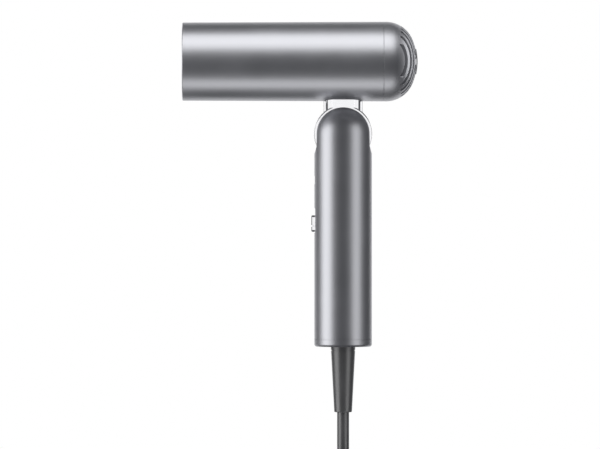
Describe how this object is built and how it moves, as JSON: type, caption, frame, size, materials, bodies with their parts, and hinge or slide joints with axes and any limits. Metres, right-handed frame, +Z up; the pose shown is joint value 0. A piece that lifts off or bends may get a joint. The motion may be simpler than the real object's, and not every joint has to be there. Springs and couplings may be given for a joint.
{
  "type": "folding hair dryer",
  "caption": "Folding hair dryer: a straight round head with a slotted rear inlet, hinged on a chrome knuckle in the forked top of a round handle, with a tied mains cord and plug.",
  "frame": {"origin": "middle of the hand grip, on the axis of the round handle", "axes": "+Z up along the handle towards the head; -X is where the air leaves and the side with the switch; +Y is the hinge's axis, to the side"},
  "size_m": [0.1636, 0.0554, 0.5953],
  "materials": {
    "shell": "satin, grey anodised",
    "cap": "satin, grey anodised",
    "chrome": "polished",
    "button": "satin metallic",
    "lens": "milky, clear",
    "dark_plastic": "fine matt grain",
    "brass": "turned",
    "mesh_steel": "woven",
    "magnet": "nickel plated",
    "steel": "turned",
    "mica": "flaky, satin",
    "nichrome": "heat tinted",
    "rubber": "matt",
    "motor_alloy": "machined",
    "stator_steel": "laminated",
    "circuit_board": "solder mask",
    "bush_plastic": "acetal, satin",
    "wire": "sleeved",
    "die_cast": "bead blasted, dark",
    "capacitor": "sleeved",
    "ferrite": "ferrite",
    "ic": "moulded",
    "cord_sheath": "matt",
    "tie": "matt, ribbed",
    "plug_moulding": "fine matt grain",
    "nickel": "nickel plated"
  },
  "bodies": {
    "handle": {"handle_shell": "shell", "bottom_cap": "cap", "indicator_lenses": "lens", "chassis": "dark_plastic", "slide_switch": "dark_plastic", "tact_switch": "dark_plastic", "board_spacers": "brass", "power_board": "circuit_board", "control_board": "circuit_board", "handle_loom": "wire", "hinge_fork": "die_cast", "hinge_pin": "steel", "pin_clip": "steel", "fork_screws": "steel", "bottom_screws": "steel", "power_capacitor": "capacitor", "line_choke": "ferrite", "power_switch_chip": "ic", "heat_sink": "motor_alloy", "mains_lead": "cord_sheath", "strain_relief": "cord_sheath", "cord": "cord_sheath", "cord_hank": "cord_sheath", "plug_lead": "cord_sheath", "cord_tie": "tie", "plug_body": "plug_moulding", "plug_pins": "nickel"},
    "head": {"head_tube": "shell", "outlet_ring": "dark_plastic", "attachment_magnets": "magnet", "outlet_grille": "dark_plastic", "ion_needle": "steel", "heater_liner": "mica", "heater_frame": "mica", "heater_coils": "nichrome", "thermal_cutout": "steel", "flow_duct": "dark_plastic", "motor_carrier": "dark_plastic", "motor_damper": "rubber", "motor_casing": "motor_alloy", "stator_core": "stator_steel", "motor_bearings": "steel", "motor_board": "circuit_board", "knuckle": "chrome", "knuckle_saddle": "steel", "saddle_screws": "steel", "hinge_bushes": "bush_plastic", "detent_ball": "steel", "head_loom": "wire"},
    "rotor": {"impeller": "motor_alloy", "rotor_shaft": "steel"},
    "rear_cover": {"rear_cover": "shell", "inlet_grille": "shell", "centre_cap": "chrome", "filter_frame": "dark_plastic", "filter_mesh": "mesh_steel"},
    "power_slider": {"power_slider": "chrome"},
    "heat_button": {"heat_button": "button"}
  },
  "joints": [
    {"name": "head_fold", "type": "hinge", "parent": "handle", "child": "head", "pos_m": [0, 0, 0.074], "axis": [0, -1, 0], "range_deg": [-90, 90]},
    {"name": "rotor_spin", "type": "hinge", "parent": "head", "child": "rotor", "pos_m": [0, 0, 0.1244], "axis": [-1, 0, 0], "continuous": true},
    {"name": "rear_cover_pull", "type": "slide", "parent": "head", "child": "rear_cover", "axis": [1, 0, 0], "range_m": [0, 0.03]},
    {"name": "power_slide", "type": "slide", "parent": "handle", "child": "power_slider", "axis": [0, 0, 1], "range_m": [0, 0.0036]},
    {"name": "heat_button_press", "type": "slide", "parent": "handle", "child": "heat_button", "axis": [1, 0, 0], "range_m": [0, 0.0008], "stiffness_N_per_m": 600, "springref_m": -0.0006}
  ]
}
